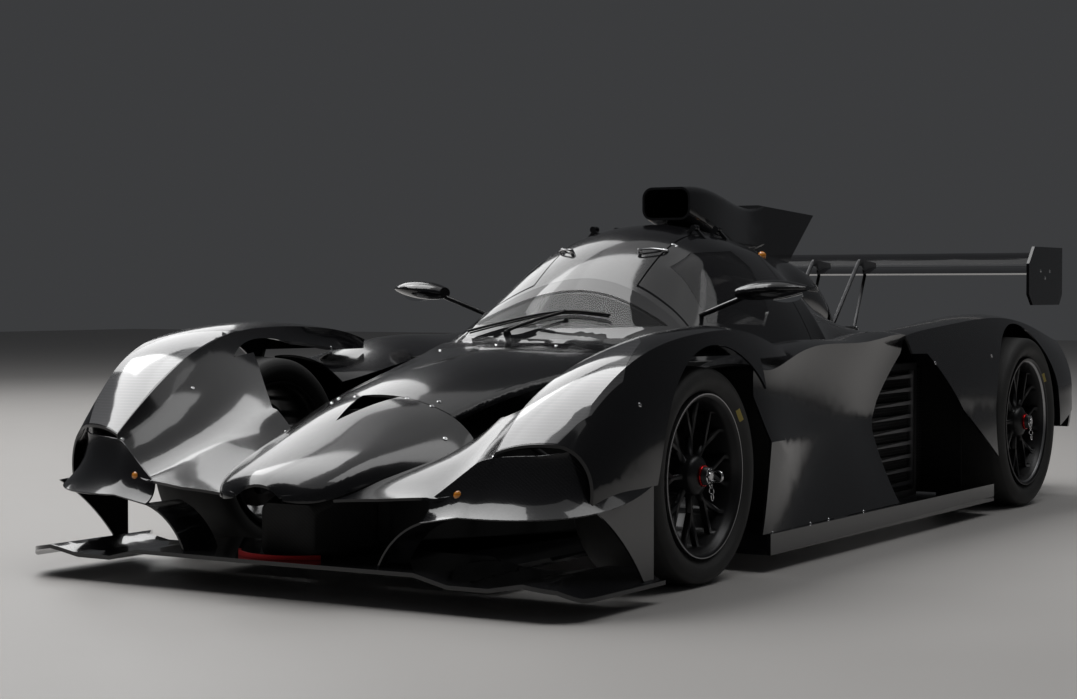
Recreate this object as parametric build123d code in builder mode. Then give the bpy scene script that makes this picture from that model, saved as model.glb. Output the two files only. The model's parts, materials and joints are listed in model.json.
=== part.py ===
"""Closed-cockpit track hypercar, built as separate pieces in millimetres.

The car stands on z = 0 with its nose along -Y and its own left side along +X. The origin is on
the floor, half way along and across the car. Every panel is lofted through a few sections across
the car, each section a closed ribbon of arcs as thick as the panel.
"""

import math
import os

from build123d import *

os.makedirs("parts", exist_ok=True)

# ---------------------------------------------------------------- driving dimensions
overall_length = 4660
front_axle_y = -1400
wheelbase = 2780
ground_gap = 55

front_tyre_radius = 327
front_tyre_width = 290
front_rim_radius = 245
front_rim_face_x = 944
rear_tyre_radius = 344
rear_tyre_width = 325
rear_rim_radius = 257
rear_rim_face_x = 984

panel = 8
tub_wall = 30
arch_gap = 62
seam = 4
bond = 0.3

rear_axle_y = front_axle_y + wheelbase
nose_tip_y = -overall_length / 2
tail_y = overall_length / 2
front_wheel_x = front_rim_face_x - front_tyre_width / 2
rear_wheel_x = rear_rim_face_x - rear_tyre_width / 2
front_arch_radius = front_tyre_radius + arch_gap
rear_arch_radius = rear_tyre_radius + arch_gap - 8


def across(y):
    """The plane across the car at a distance y, with x to the car's left and z up."""
    return Plane.XZ.offset(-y)


def arcs(points):
    """Draws arcs through each three points that follow each other, end to end."""
    for i in range(0, len(points) - 2, 2):
        ThreePointArc(points[i], points[i + 1], points[i + 2])


def inset(points, wall):
    """The points of a section moved to its right-hand side by a wall."""
    moved = []
    for i, (x, z) in enumerate(points):
        before = points[max(i - 1, 0)]
        after = points[min(i + 1, len(points) - 1)]
        dx, dz = after[0] - before[0], after[1] - before[1]
        length = math.hypot(dx, dz)
        moved.append((x + wall * dz / length, z - wall * dx / length))
    return moved


def ribbon(y, points, wall):
    """A closed section at y: the arcs through the points, and the same arcs one wall further in."""
    inner = inset(points, wall)
    with BuildSketch(across(y)) as section:
        with BuildLine():
            arcs(points)
            Line(points[-1], inner[-1])
            arcs(inner[::-1])
            Line(inner[0], points[0])
        make_face()
    return section.sketch


def filled(y, points, base_z):
    """A closed section at y: the arcs through the points, closed by a level line at a base."""
    with BuildSketch(across(y)) as section:
        with BuildLine():
            arcs(points)
            Polyline(points[-1], (points[-1][0], base_z), (points[0][0], base_z), points[0])
        make_face()
    return section.sketch


def lofted(rows, wall, ruled=False):
    """Adds the panel through one ribbon for each row of (y, points)."""
    loft([ribbon(y, points, wall) for y, points in rows], ruled=ruled)


def both_sides(points):
    """A half section from its outer foot to the middle, carried on from the car's other side."""
    return [(-x, z) for x, z in points[:-1]] + points[::-1]


def rod(start, end, radius=11):
    """A straight round tube from one point to another."""
    start, end = Vector(*start), Vector(*end)
    with BuildSketch(Plane(origin=start, z_dir=(end - start).normalized())) as bore:
        Circle(radius)
    return extrude(bore.sketch, amount=(end - start).length, mode=Mode.PRIVATE)


def save(block, name):
    block.part.label = name
    export_step(block.part, f"parts/{name}.step")


def mirrored(block, name):
    """The same piece on the car's right-hand side."""
    with BuildPart() as other:
        mirror(block.part, about=Plane.YZ)
    save(other, name)
    return other


# ---------------------------------------------------------------- floor and splitter
floor_top = ground_gap + 18
floor_front_y = -1040
floor_rear_y = 1690
skirt_x = 980
floor_waist_x = 640
floor_nose_x = 500
splitter_rear_y = -1868
skirt_rear_y = 985
skirt_height = 66
skirt_wall = 12

with BuildPart() as floor_pan:
    with BuildSketch(Plane.XY.offset(ground_gap)):
        with BuildLine():
            Polyline(
                (0, splitter_rear_y), (floor_nose_x, splitter_rear_y), (floor_nose_x, floor_front_y),
                (skirt_x, floor_front_y),
                (skirt_x, skirt_rear_y), (floor_waist_x, skirt_rear_y + 90),
                (floor_waist_x, floor_rear_y), (0, floor_rear_y), (0, splitter_rear_y),
            )
        make_face()
        mirror(about=Plane.YZ)
    extrude(amount=floor_top - ground_gap)
    with BuildSketch(Plane.XY.offset(ground_gap)):
        with Locations(
            (skirt_x - skirt_wall / 2, (floor_front_y + skirt_rear_y) / 2),
            (-skirt_x + skirt_wall / 2, (floor_front_y + skirt_rear_y) / 2),
        ):
            Rectangle(skirt_wall, skirt_rear_y - floor_front_y)
    extrude(amount=skirt_height)
save(floor_pan, "floor_pan")

splitter_front_y = -2290
splitter_z = 96
splitter_step = 26
splitter_plate = 12
splitter_tip_x = 1000
splitter_tail_y = -1765

with BuildPart() as splitter:
    # profile across the car: flat middle, step down, raised bow, tip curled down
    profile = [
        (0, splitter_z), (500, splitter_z), (610, splitter_z - splitter_step),
        (740, splitter_z - splitter_step), (850, splitter_z - 6), (940, splitter_z - 20), (985, 52),
        (splitter_tip_x, 52),
    ]
    upper = [(x, z + splitter_plate) for x, z in profile]
    with BuildSketch(across(splitter_front_y)):
        with BuildLine():
            Polyline(profile + upper[::-1] + [profile[0]])
        make_face()
        mirror(about=Plane.YZ)
    extrude(amount=-(splitter_tail_y - splitter_front_y))
    with BuildSketch(Plane.XY):
        with BuildLine():
            Polyline((0, splitter_front_y), (820, splitter_front_y + 12))
            ThreePointArc((820, splitter_front_y + 12), (955, -2240), (splitter_tip_x, -2120))
            Polyline((splitter_tip_x, -2120), (splitter_tip_x, splitter_tail_y), (900, splitter_tail_y),
                     (820, splitter_rear_y), (0, splitter_rear_y), (0, splitter_front_y))
        make_face()
        mirror(about=Plane.YZ)
    extrude(amount=400, mode=Mode.INTERSECT)
save(splitter, "splitter")

crash_box_front_y = -2195
crash_box_rear_y = -1960
with BuildPart() as crash_box:
    for y, half, top in ((crash_box_front_y, 95, 262), (crash_box_rear_y - bond, 150, 330)):
        with BuildSketch(across(y)):
            with Locations((0, (splitter_z + splitter_plate + bond + top) / 2)):
                RectangleRounded(2 * half, top - splitter_z - splitter_plate - bond, 24)
    loft()
save(crash_box, "crash_box")

strap_wall = 4
strap_height = 13
with BuildPart() as tow_strap:
    with BuildSketch(Plane.XY.offset(splitter_z + splitter_plate + bond)):
        with BuildLine():
            ThreePointArc((-190, -2180), (-40, -2262), (110, -2190))
            offset(amount=strap_wall)
        make_face()
    extrude(amount=strap_height)
save(tow_strap, "tow_strap")

# ---------------------------------------------------------------- nose and hood
# y, foot x, foot z, crease x, crease z, crown z
nose_rows = [
    (nose_tip_y, 92, 286, 80, 300, 330),
    (-2280, 180, 284, 163, 326, 366),
    (-2130, 246, 326, 200, 388, 428),
    (-1960, 300, 368, 216, 440, 492),
    (-1738, 338, 436, 243, 508, 557),
]


def bonnet(y, foot_x, foot_z, crease_x, crease_z, crown_z):
    flank = ((foot_x + crease_x) / 2 + 7, (foot_z + crease_z) / 2 + 4)
    return y, both_sides([(foot_x, foot_z), flank, (crease_x, crease_z), (0, crown_z)])


with BuildPart() as nose_room:
    loft([filled(y, [(x + math.copysign(seam, x), z + 2) if x else (x, z + 2) for x, z in points], 200)
          for y, points in (bonnet(*row) for row in nose_rows)])

with BuildPart() as nose_cone:
    lofted([bonnet(*row) for row in nose_rows], panel)
    with BuildSketch(Plane.XY.offset(700)):
        with BuildLine():
            Polyline((-70, -1738), (0, -1965), (70, -1738), (-70, -1738))
        make_face()
    extrude(amount=-400, mode=Mode.SUBTRACT)
save(nose_cone, "nose_cone")

# y, foot x, foot z, crease x, crease z, crown z
hood_rows = [
    (-1734, 262, 478, 243, 509, 558),
    (-1550, 285, 525, 262, 556, 610),
    (-1300, 330, 575, 300, 604, 655),
    (-1000, 420, 610, 380, 648, 686),
    (-700, 500, 640, 470, 690, 706),
]
with BuildPart() as hood_skin:
    lofted([bonnet(*row) for row in hood_rows], panel)

# ---------------------------------------------------------------- front fenders
# y, channel foot, channel corner, inner crest, outer crest, flank foot, each (x, z)
fender_rows = [
    (-2250, (205, 290), (517, 302), (688, 344), (800, 330), (900, 250)),
    (-2050, (279, 349), (487, 370), (686, 527), (884, 517), (955, 300)),
    (-1850, (334, 400), (452, 451), (712, 641), (925, 667), (985, 330)),
    (-1600, (372, 470), (415, 540), (757, 722), (951, 738), (990, 345)),
    (-1350, (470, 560), (510, 620), (765, 752), (950, 757), (990, 400)),
    (-1080, (600, 600), (650, 660), (755, 748), (935, 742), (985, 420)),
    (-800, (640, 610), (690, 650), (750, 700), (905, 690), (960, 440)),
]


def bulged(a, b, bulge):
    """The point half way from a to b, moved to the left of that way by a bulge."""
    dx, dz = b[0] - a[0], b[1] - a[1]
    length = math.hypot(dx, dz)
    return ((a[0] + b[0]) / 2 - bulge * dz / length, (a[1] + b[1]) / 2 + bulge * dx / length)


def chain(corners, bulges):
    """A section's corners with a bulged point between each two."""
    points = [corners[0]]
    for a, b, bulge in zip(corners, corners[1:], bulges):
        points += [bulged(a, b, bulge), b]
    return points


fender_bulges = (4, -34, 14, 30)
fender_tail_z = 668
lens_outline = [
    (690, -2157), (853, -2108), (905, -2016), (932, -1887), (880, -1690), (768, -1505), (727, -1772),
    (700, -1939),
    (688, -2066), (690, -2157),
]


def lens_block(grow):
    """A tall block over the headlamp, its outline from above grown by a seam."""
    with BuildSketch(Plane.XY.offset(380)) as shape:
        with BuildLine():
            Polyline(lens_outline)
        make_face()
        if grow:
            offset(amount=grow)
    return extrude(shape.sketch, amount=500, mode=Mode.PRIVATE)


with BuildPart() as fender_front_left:
    lofted([(y, chain(corners, fender_bulges)) for y, *corners in fender_rows], panel)
    # oblique leading edge, from the channel's lip out to the lens's outer corner
    with BuildSketch(Plane.XY):
        with BuildLine():
            Polyline((150, -2400), (150, -2300), (510, -2212), (1050, -2053), (1050, -2400), (150, -2400))
        make_face()
    extrude(amount=900, mode=Mode.SUBTRACT)
    add(nose_room.part, mode=Mode.SUBTRACT)
    # wheel arch
    with Locations(Location((1000, front_axle_y, front_tyre_radius), (0, 90, 0))):
        Cylinder(front_arch_radius, 620, mode=Mode.SUBTRACT)
    # level lower edge behind the wheel, over the side pod
    with BuildSketch(Plane.XY.offset(200)):
        with Locations((800, -700)):
            Rectangle(600, 800)
    extrude(amount=fender_tail_z - 200, mode=Mode.SUBTRACT)
    # the channel opens behind its inner wall
    with BuildSketch(Plane.XY.offset(200)):
        with BuildLine():
            Polyline((300, -1730), (440, -1715), (640, -1540), (720, -1480), (735, -780), (300, -780),
                (300, -1730))
        make_face()
    extrude(amount=700, mode=Mode.SUBTRACT)
with BuildPart() as lens_left:
    add(fender_front_left.part)
    add(lens_block(-1), mode=Mode.INTERSECT)
with BuildPart() as headlight_lenses:
    add(lens_left.part)
    mirror(lens_left.part, about=Plane.YZ)
save(headlight_lenses, "headlight_lenses")
with BuildPart() as fender_skin_left:
    add(fender_front_left.part)
    add(lens_block(0), mode=Mode.SUBTRACT)
save(fender_skin_left, "fender_front_left")
mirrored(fender_skin_left, "fender_front_right")

# ---------------------------------------------------------------- dive planes and headlamps
# place and heading of each section of the corner: top lip, then the blade's edge, each (x, y, z)
corner_rows = [
    ((640, -2176, 405), (622, -2246, 262)),
    ((760, -2142, 425), (770, -2235, 262)),
    ((862, -2102, 436), (905, -2165, 268)),
    ((930, -1985, 470), (985, -2010, 290)),
    ((960, -1850, 400), (985, -1800, 336)),
]
inner_row = ((500, -2200, 298), (497, -2244, 240))
blade_wall = 6
curl_length = 150
flank_x = 981


def blade_section(top, edge):
    """The blade cut square across its run: a hollow curve from its top lip out to its edge."""
    out = Vector(edge[0] - top[0], edge[1] - top[1], 0).normalized()
    plane = Plane(origin=(top[0], top[1], 0), x_dir=out, z_dir=out.cross(Vector(0, 0, 1)))
    reach = math.hypot(edge[0] - top[0], edge[1] - top[1])
    with BuildSketch(plane) as blade:
        with BuildLine():
            ThreePointArc((0, top[2]), (reach * 0.32, top[2] * 0.35 + edge[2] * 0.65), (reach, edge[2]))
            offset(amount=blade_wall / 2)
        make_face()
    return blade.sketch


with BuildPart() as dive_left:
    loft([blade_section(*row) for row in corner_rows])
    loft([blade_section(*inner_row), blade_section(*corner_rows[0])])
    # inner end of the blade, curled down to the splitter
    with BuildSketch(across(-2242)):
        with BuildLine():
            ThreePointArc((499, 240), (410, 190), (350, 104))
            offset(amount=blade_wall / 2)
        make_face()
    extrude(amount=-curl_length)
    # outer flank, from the blade's tail down to the splitter
    with BuildSketch(Plane.YZ.offset(flank_x - blade_wall)):
        with BuildLine():
            Polyline((-1800, 60), (-1800, 336), (-1850, 330), (-2010, 288), (-2110, 280))
            ThreePointArc((-2110, 280), (-1985, 198), (-1850, 60))
            Line((-1850, 60), (-1800, 60))
        make_face()
    extrude(amount=blade_wall)
    add(fender_front_left.part, mode=Mode.SUBTRACT)
    add(splitter.part, mode=Mode.SUBTRACT)
with BuildPart() as dive_planes:
    add(dive_left.part)
    mirror(dive_left.part, about=Plane.YZ)
save(dive_planes, "dive_planes")

# ---------------------------------------------------------------- tub and cabin
tub_floor_z = floor_top + 0.5
tub_rear_y = 360
tub_cabin_front_y = -760
tub_nose_y = -1960
tub_half_width = 575
tub_nose_half_width = 190
tub_shoulder = 320
tub_top_z = 640
tub_bulkhead_top_z = 545
tub_nose_top_z = 375

bulkhead_y = -1850
bulkhead_wall = 8
bulkhead_line = [
    (-440, 441), (-334, 395), (-229, 468), (0, 519), (229, 468), (334, 395), (440, 441),
]
with BuildPart() as tub:
    with BuildSketch(across(bulkhead_y - bulkhead_wall)):
        with BuildLine():
            Polyline(bulkhead_line[0], bulkhead_line[1], bulkhead_line[2])
            ThreePointArc(bulkhead_line[2], bulkhead_line[3], bulkhead_line[4])
            Polyline(bulkhead_line[4], bulkhead_line[5], bulkhead_line[6], (440, 300), (-440, 300),
                bulkhead_line[0])
        make_face()
    extrude(amount=-bulkhead_wall)
    with BuildSketch(across(tub_cabin_front_y)):
        with Locations((0, (tub_floor_z + tub_top_z) / 2)):
            Rectangle(2 * tub_half_width, tub_top_z - tub_floor_z)
    extrude(amount=-(tub_rear_y - tub_cabin_front_y))
    for y_front, half, top in ((tub_nose_y, tub_nose_half_width, tub_nose_top_z),):
        with BuildSketch(across(tub_cabin_front_y)):
            with Locations((0, (tub_floor_z + tub_bulkhead_top_z) / 2)):
                Rectangle(2 * tub_shoulder, tub_bulkhead_top_z - tub_floor_z)
        with BuildSketch(across(y_front)):
            with Locations((0, (140 + top) / 2)):
                Rectangle(2 * half, top - 140)
        loft()
    with BuildSketch(across(tub_cabin_front_y + tub_wall)):
        with Locations((0, (tub_floor_z + tub_wall + 900) / 2)):
            Rectangle(2 * (tub_half_width - tub_wall), 900 - tub_floor_z - tub_wall)
    extrude(amount=-(tub_rear_y - tub_cabin_front_y - 2 * tub_wall), mode=Mode.SUBTRACT)
    with BuildSketch(across(tub_cabin_front_y + tub_wall + 1)):
        with Locations((0, (tub_floor_z + tub_bulkhead_top_z) / 2)):
            Rectangle(2 * (tub_shoulder - tub_wall), tub_bulkhead_top_z - tub_floor_z - 2 * tub_wall)
    with BuildSketch(across(-1500)):
        with Locations((0, 290)):
            Rectangle(2 * 200, 240)
    loft(mode=Mode.SUBTRACT)
    for skin in (nose_cone.part, fender_front_left.part,
            mirror(fender_front_left.part, about=Plane.YZ, mode=Mode.PRIVATE)):
        add(skin, mode=Mode.SUBTRACT)
save(tub, "tub")

# ---------------------------------------------------------------- greenhouse
# y, foot (x, z), shoulder (x, z), crown z
greenhouse_rows = [
    (-900, (480, 560), (270, 640), 655),
    (-750, (530, 600), (310, 712), 745),
    (-600, (552, 620), (330, 792), 850),
    (-450, (560, 635), (338, 880), 965),
    (-300, (560, 640), (340, 960), 1055),
    (-100, (560, 640), (335, 1020), 1115),
    (150, (560, 640), (320, 1020), 1115),
    (380, (558, 640), (290, 985), 1080),
]


def hull(y, foot, shoulder, crown_z):
    side = bulged(foot, shoulder, -26)
    return y, both_sides([foot, side, shoulder, (0, crown_z)])


with BuildPart() as greenhouse:
    lofted([hull(*row) for row in greenhouse_rows], panel)
with BuildPart() as greenhouse_room:
    loft([filled(*hull(*row), 500) for row in greenhouse_rows])

with BuildPart() as hood:
    add(hood_skin.part)
    add(greenhouse_room.part, mode=Mode.SUBTRACT)
    add(tub.part, mode=Mode.SUBTRACT)
save(hood, "hood")

pillar_y_low = -560
pillar_y_high = -385
door_top_x = 215
door_rear_y = 235
door_gap = 6
belt_z = 690
cowl_z = 698


windscreen_outline = [(-960, cowl_z), (pillar_y_low - 40, cowl_z + 30), (-470, 1010), (-900, 1100),
    (-960, cowl_z)]
with BuildPart() as windshield:
    add(greenhouse.part)
    with BuildSketch(Plane.YZ):
        with BuildLine():
            Polyline(windscreen_outline)
        make_face()
    extrude(amount=900, both=True, mode=Mode.INTERSECT)
save(windshield, "windshield")

door_outline = [
    (-585, belt_z), (-400, 1150), (door_rear_y, 1150), (door_rear_y + 10, belt_z), (-585, belt_z),
]
window_outline = [
    (-470, 765), (-372, 960), (-250, 1010), (-30, 1020), (30, 960), (-40, 800), (-120, 752), (-470, 765),
]


def door_block(outline, x_from, x_to, grow):
    """A block over one side of the greenhouse, its outline in side view grown by a seam."""
    with BuildSketch(Plane.YZ.offset(x_from)) as shape:
        with BuildLine():
            Polyline(outline)
        make_face()
        if grow:
            offset(amount=grow)
    return extrude(shape.sketch, amount=x_to - x_from, mode=Mode.PRIVATE)


hinge_x = 212
hinge_z = 1105
hinge_ys = (-70, 110)
pin_radius = 6
pin_fit = 0.05
lug_wall = 12
lug_step = lug_wall + 6


def lug(y, reach_x, reach_z, bore):
    """A hinge lug across the car at y: an eye on the hinge line and a web down into the skin."""
    with BuildSketch(across(y)) as shape:
        with Locations((hinge_x, hinge_z)):
            Circle(2 * pin_radius)
        with BuildLine():
            Polyline((hinge_x - 6, hinge_z), (hinge_x + 6, hinge_z), (reach_x + 9, reach_z),
                (reach_x - 9, reach_z),
                     (hinge_x - 6, hinge_z))
        make_face()
        if bore:
            with Locations((hinge_x, hinge_z)):
                Circle(bore, mode=Mode.SUBTRACT)
    return extrude(shape.sketch, amount=-lug_wall, mode=Mode.PRIVATE)


with BuildPart() as door_left:
    add(greenhouse.part)
    add(door_block(door_outline, door_top_x, 900, 0), mode=Mode.INTERSECT)
    add(door_block(window_outline, door_top_x, 900, 0), mode=Mode.SUBTRACT)
    for y in hinge_ys:
        add(lug(y, hinge_x + 34, 1066, pin_radius + pin_fit))
save(door_left, "door_left")
mirrored(door_left, "door_right")

with BuildPart() as door_glass_left:
    add(greenhouse.part)
    add(door_block(window_outline, door_top_x, 900, -1), mode=Mode.INTERSECT)
save(door_glass_left, "door_glass_left")
mirrored(door_glass_left, "door_glass_right")

with BuildPart() as canopy_frame:
    add(greenhouse.part)
    with BuildSketch(Plane.YZ):
        with BuildLine():
            Polyline(windscreen_outline)
        make_face()
        offset(amount=bond)
    extrude(amount=900, both=True, mode=Mode.SUBTRACT)
    add(door_block(door_outline, door_top_x - door_gap, 900, door_gap), mode=Mode.SUBTRACT)
    mirror(door_block(door_outline, door_top_x - door_gap, 900, door_gap), about=Plane.YZ,
        mode=Mode.SUBTRACT)
    with BuildSketch(Plane.XY.offset(tub_top_z)):
        Rectangle(3000, 4000)
    extrude(amount=-400, mode=Mode.SUBTRACT)
    add(hood_skin.part, mode=Mode.SUBTRACT)
    for y in hinge_ys:
        with BuildPart(mode=Mode.PRIVATE) as hinge:
            add(lug(y - lug_step, hinge_x - 34, 1074, 0))
            with BuildSketch(across(y - lug_step)):
                with Locations((hinge_x, hinge_z)):
                    Circle(pin_radius)
            extrude(amount=-lug_step - lug_wall - 2)
        add(hinge.part)
        add(mirror(hinge.part, about=Plane.YZ, mode=Mode.PRIVATE))
save(canopy_frame, "canopy_frame")

# ---------------------------------------------------------------- side pods and rear fenders
# y, inner edge, crown, shoulder, waist, foot, each (x, z)
pod_rows = [
    (-1080, (640, 560), (760, 632), (940, 645), (972, 400), (974, 80)),
    (-800, (582, 620), (750, 656), (925, 652), (942, 400), (974, 80)),
    (-640, (580, 640), (750, 690), (912, 682), (915, 400), (974, 80)),
    (-300, (580, 650), (750, 702), (905, 696), (880, 420), (974, 80)),
    (0, (580, 650), (740, 708), (905, 705), (850, 420), (974, 80)),
    (245, (580, 650), (730, 716), (905, 716), (868, 430), (974, 80)),
]
pod_bulges = (6, 10, -14, -14)
with BuildPart() as sidepod_left:
    lofted([(y, chain(corners, pod_bulges)) for y, *corners in pod_rows], panel)
    with Locations(Location((1000, front_axle_y, front_tyre_radius), (0, 90, 0))):
        Cylinder(front_arch_radius, 900, mode=Mode.SUBTRACT)
    # slanted rear edge of the flank, the front edge of the side inlet
    with BuildSketch(Plane.YZ.offset(800)):
        with BuildLine():
            Polyline((300, 660), (255, 660), (114, 483), (60, 379), (90, 40), (300, 40), (300, 660))
        make_face()
    extrude(amount=300, mode=Mode.SUBTRACT)
    with BuildSketch(Plane.XY):
        Rectangle(2400, 4000)
    extrude(amount=ground_gap + skirt_height, mode=Mode.SUBTRACT)
save(sidepod_left, "sidepod_left")
mirrored(sidepod_left, "sidepod_right")

# y, inner edge, crown, shoulder, waist, foot, each (x, z)
rear_rows = [
    (245 + bond, (584, 646), (730, 712), (905, 712), (960, 430), (985, 60)),
    (600, (540, 640), (730, 735), (905, 742), (975, 430), (988, 60)),
    (1000, (420, 650), (725, 765), (905, 764), (985, 430), (990, 60)),
    (1400, (400, 660), (720, 770), (905, 758), (990, 430), (992, 60)),
    (1700, (400, 640), (720, 742), (905, 715), (988, 430), (985, 60)),
    (2020, (400, 600), (720, 690), (890, 660), (960, 430), (950, 150)),
]
rear_bulges = (4, 12, 22, 6)
with BuildPart() as fender_rear_left:
    lofted([(y, chain(corners, rear_bulges)) for y, *corners in rear_rows], panel)
    with Locations(Location((1000, rear_axle_y, rear_tyre_radius), (0, 90, 0))):
        Cylinder(rear_arch_radius, 900, mode=Mode.SUBTRACT)
    with BuildSketch(Plane.YZ.offset(700)):
        with BuildLine():
            Polyline((-100, 655), (375, 645), (658, 424), (1000, 229), (1200, 160), (1200, 30),
                (-100, 30), (-100, 655))
        make_face()
    extrude(amount=400, mode=Mode.SUBTRACT)
    # cut off under the tail
    with BuildSketch(Plane.YZ):
        with BuildLine():
            Polyline((1400, 40), (1745, 300), (2100, 380), (2100, 0), (1400, 0), (1400, 40))
        make_face()
    extrude(amount=1200, mode=Mode.SUBTRACT)
save(fender_rear_left, "fender_rear_left")
mirrored(fender_rear_left, "fender_rear_right")

# inlet cores: a frame with upright tubes and level fins
core_x = 640
core_depth = 55
core_front_y = 330
core_length = 560
core_bottom_z = floor_top + 0.5
core_height = 520
fin_pitch = 52
with BuildPart() as radiator:
    with BuildSketch(Plane.YZ.offset(core_x)):
        with Locations((core_front_y + core_length / 2, core_bottom_z + core_height / 2)):
            Rectangle(core_length, core_height)
            Rectangle(core_length - 50, core_height - 50, mode=Mode.SUBTRACT)
    extrude(amount=core_depth)
    fins = int((core_height - 50) // fin_pitch)
    with BuildSketch(Plane.YZ.offset(core_x + 12)):
        with Locations((core_front_y + core_length / 2, core_bottom_z + core_height / 2)):
            with GridLocations(0, fin_pitch, 1, fins):
                Rectangle(core_length - 40, 16)
    extrude(amount=core_depth - 20)
with BuildPart() as radiators:
    add(radiator.part)
    mirror(radiator.part, about=Plane.YZ)
save(radiators, "radiators")

# ---------------------------------------------------------------- engine cover, fin and scoop
# y, foot (x, z), shoulder (x, z), crown z
cover_rows = [
    (384, (520, 640), (290, 985), 1080),
    (600, (455, 640), (240, 940), 1062),
    (850, (395, 655), (180, 850), 1030),
    (1150, (380, 655), (120, 760), 985),
    (1450, (390, 645), (80, 700), 830),
    (1900, (398, 600), (60, 625), 650),
]
# the solid under the roof and the engine cover, which the scoop is cut to fit
with BuildPart() as roof_room:
    loft([filled(*hull(*row), 500) for row in greenhouse_rows])
    loft([filled(*hull(*row), 560) for row in cover_rows])
fin_wall = 10
strut_x = 110
with BuildPart() as engine_cover:
    lofted([hull(*row) for row in cover_rows], panel)
    with BuildSketch(Plane.YZ.offset(-fin_wall / 2)):
        with BuildLine():
            Polyline((640, 1062), (640, 1215), (889, 1226), (1433, 1200), (1180, 992), (1150, 981),
                (640, 1055), (640, 1062))
        make_face()
    extrude(amount=fin_wall)
    # slots for the wing's struts
    with BuildSketch(Plane.XY.offset(600)):
        with Locations((strut_x, 1470), (-strut_x, 1470)):
            Rectangle(24, 240)
    extrude(amount=300, mode=Mode.SUBTRACT)
save(engine_cover, "engine_cover")

scoop_y = 100
scoop_z = 1205
scoop_width = 205
scoop_height = 125
scoop_wall = 9
# y, centre z, width, height, corner radius
scoop_rows = [
    (scoop_y, scoop_z, scoop_width, scoop_height, 42),
    (300, 1176, 202, 180, 42),
    (630, 1126, 104, 190, 36),
    (930, 1142, 30, 162, 13),
]
duct_end_row = 3
with BuildPart() as roof_scoop:
    for shrink, rows, mode in ((0, scoop_rows, Mode.ADD),
            (scoop_wall, scoop_rows[:duct_end_row], Mode.SUBTRACT)):
        sections = []
        for y, z, width, height, radius in rows:
            with BuildSketch(across(y)) as mouth:
                with Locations((0, z)):
                    RectangleRounded(width - 2 * shrink, height - 2 * shrink, radius - shrink)
            sections.append(mouth.sketch)
        loft(sections, mode=mode)
    add(roof_room.part, mode=Mode.SUBTRACT)
    add(canopy_frame.part, mode=Mode.SUBTRACT)
    add(engine_cover.part, mode=Mode.SUBTRACT)
save(roof_scoop, "roof_scoop")

# ---------------------------------------------------------------- tail, diffuser and wing
tail_edge = inset(chain([(400, 602), (720, 693), (891, 663), (962, 430), (956, 290)], rear_bulges), 4)
with BuildPart() as tail_panel:
    with BuildSketch(across(1990)):
        with BuildLine():
            arcs(tail_edge)
            Polyline(tail_edge[-1], (880, 290), (840, 400), (0, 400), (0, 560), (380, 560), tail_edge[0])
        make_face()
        mirror(about=Plane.YZ)
        with Locations((0, 480)):
            RectangleRounded(700, 90, 20, mode=Mode.SUBTRACT)
    extrude(amount=-18)
    add(fender_rear_left.part, mode=Mode.SUBTRACT)
    add(mirror(fender_rear_left.part, about=Plane.YZ, mode=Mode.PRIVATE), mode=Mode.SUBTRACT)
save(tail_panel, "tail_panel")

with BuildPart() as tail_lights:
    with BuildSketch(across(2008 + bond)):
        with Locations((700, 560), (-700, 560)):
            RectangleRounded(240, 26, 12)
    extrude(amount=-14)
save(tail_lights, "tail_lights")

diffuser_front_y = floor_rear_y + bond
strake_xs = (-560, -340, -120, 120, 340, 560)
with BuildPart() as diffuser:
    with BuildSketch(Plane.YZ.offset(-floor_waist_x)):
        with BuildLine():
            Polyline((diffuser_front_y, ground_gap), (diffuser_front_y, floor_top),
                     (1800, floor_top + 22), (tail_y, 330), (tail_y, 316), (1800, ground_gap + 22),
                     (diffuser_front_y, ground_gap))
        make_face()
    extrude(amount=2 * floor_waist_x)
    for x in strake_xs + (-floor_waist_x + 5, floor_waist_x - 5):
        with BuildSketch(Plane.YZ.offset(x - 5)):
            with BuildLine():
                Polyline((1800, 70), (1800, 86), (tail_y - 10, 322), (tail_y - 10, 170), (2000, 70),
                    (1800, 70))
            make_face()
        extrude(amount=10)
save(diffuser, "diffuser")

wing_half_span = 880
# leading edge y, z, chord, thickness, upward angle
wing_elements = ((1700, 950, 260, 30, 6), (1945, 990, 120, 16, 24))
plate_wall = 12
with BuildPart() as rear_wing:
    for y, z, chord, thick, angle in wing_elements:
        blade = Plane(origin=(-wing_half_span, y, z),
            x_dir=(0, math.cos(math.radians(angle)), math.sin(math.radians(angle))),
                      z_dir=(1, 0, 0))
        with BuildSketch(blade):
            with BuildLine():
                ThreePointArc((0, 0), (chord * 0.3, thick * 0.45), (chord, 4))
                Line((chord, 4), (chord, 0))
                ThreePointArc((chord, 0), (chord * 0.35, -thick * 0.55), (0, 0))
            make_face()
        extrude(amount=2 * wing_half_span)
    for x in (-wing_half_span - plate_wall, wing_half_span):
        with BuildSketch(Plane.YZ.offset(x)):
            with BuildLine():
                Polyline((1650, 990), (1720, 1062), (2090, 1062), (2090, 860), (2050, 815), (1700, 815),
                    (1650, 860), (1650, 990))
            make_face()
        extrude(amount=plate_wall)
save(rear_wing, "rear_wing")

strut_wall = 10
rod_radius = 9
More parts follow.
